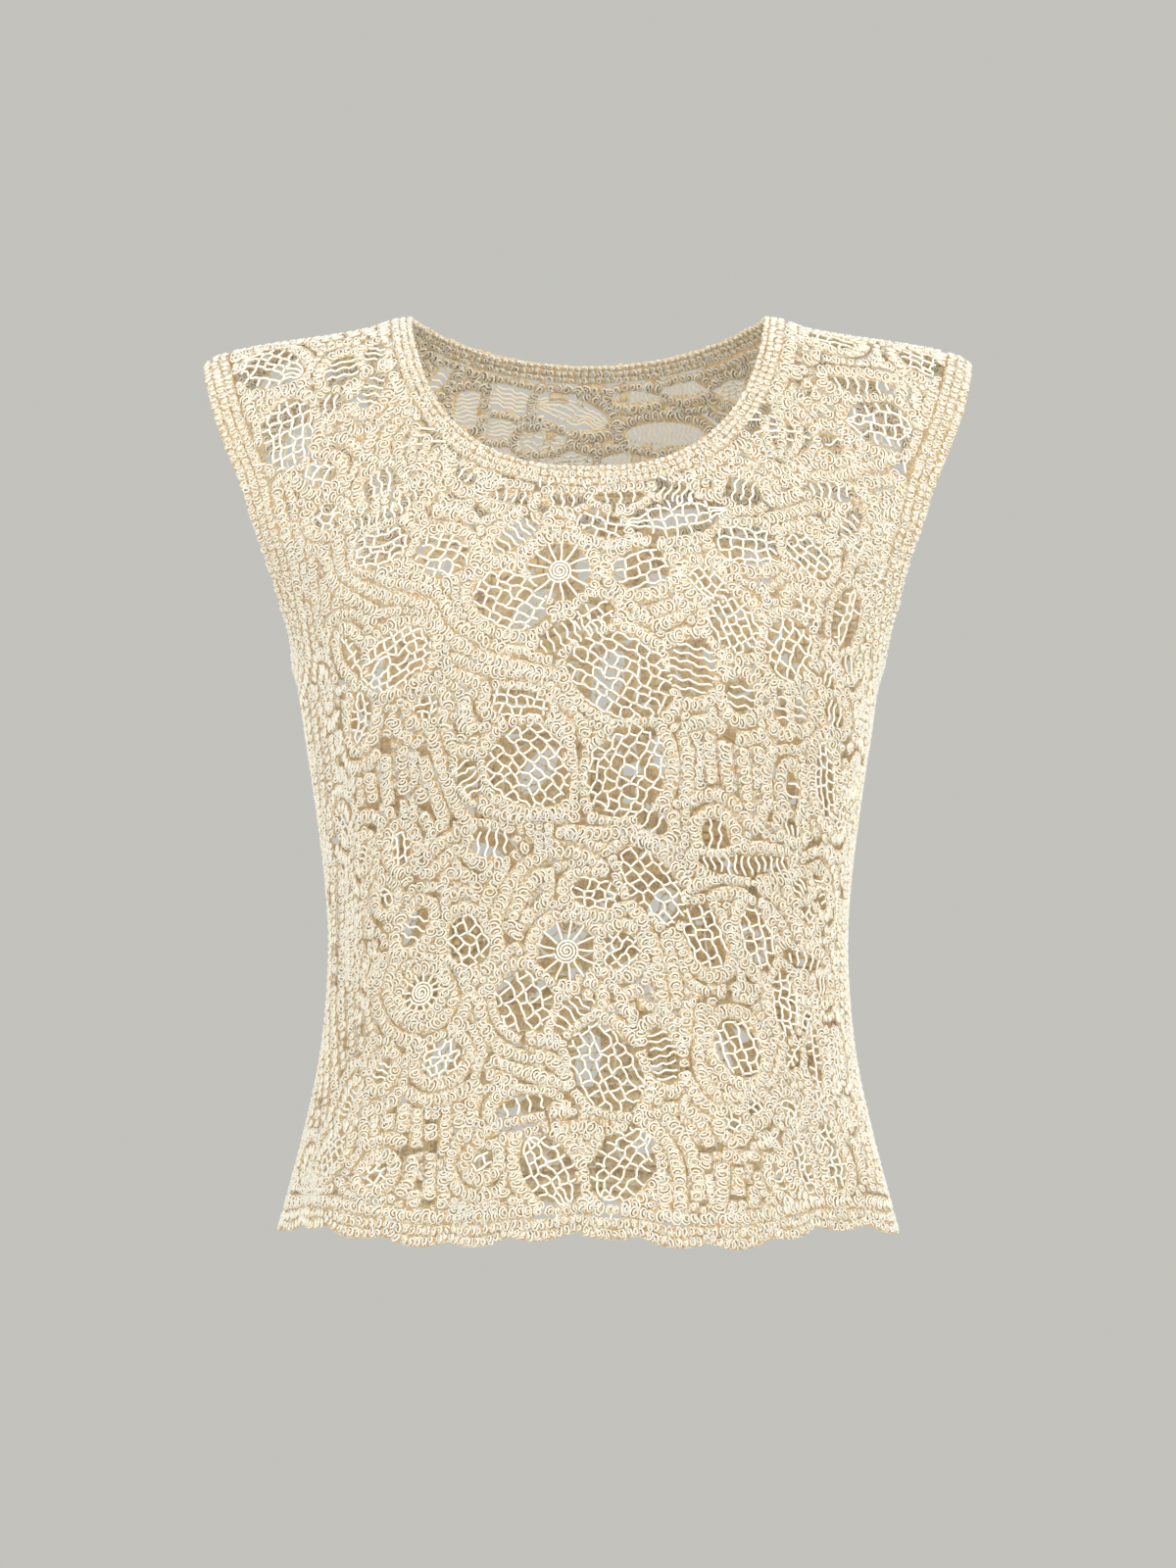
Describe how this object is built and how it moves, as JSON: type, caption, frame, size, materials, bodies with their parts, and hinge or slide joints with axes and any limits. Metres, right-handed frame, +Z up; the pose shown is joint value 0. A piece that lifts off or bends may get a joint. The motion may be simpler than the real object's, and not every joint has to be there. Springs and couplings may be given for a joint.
{
  "type": "crocheted lace sweater vest",
  "caption": "Sleeveless crocheted lace pullover vest with a round neck, banded armholes and a scalloped hem, hollow as worn.",
  "frame": {"origin": "midway between the two shoulder seams, level with their inner ends beside the neck, where the wearer's shoulders hold the vest up", "axes": "+Z up the wearer's body, +X towards the wearer's left (the viewer's right from the front), the front faces -Y"},
  "size_m": [0.4464, 0.2624, 0.5332],
  "materials": {
    "cotton_lace": "matt cream cotton yarn, crocheted lace",
    "cotton_edging": "matt cream cotton yarn, dense crocheted rows"
  },
  "bodies": {
    "root": {"front_panel": "cotton_lace", "back_panel": "cotton_lace", "neckband": "cotton_edging", "armhole_band_left": "cotton_edging", "armhole_band_right": "cotton_edging", "hem_edging": "cotton_edging"}
  },
  "joints": []
}
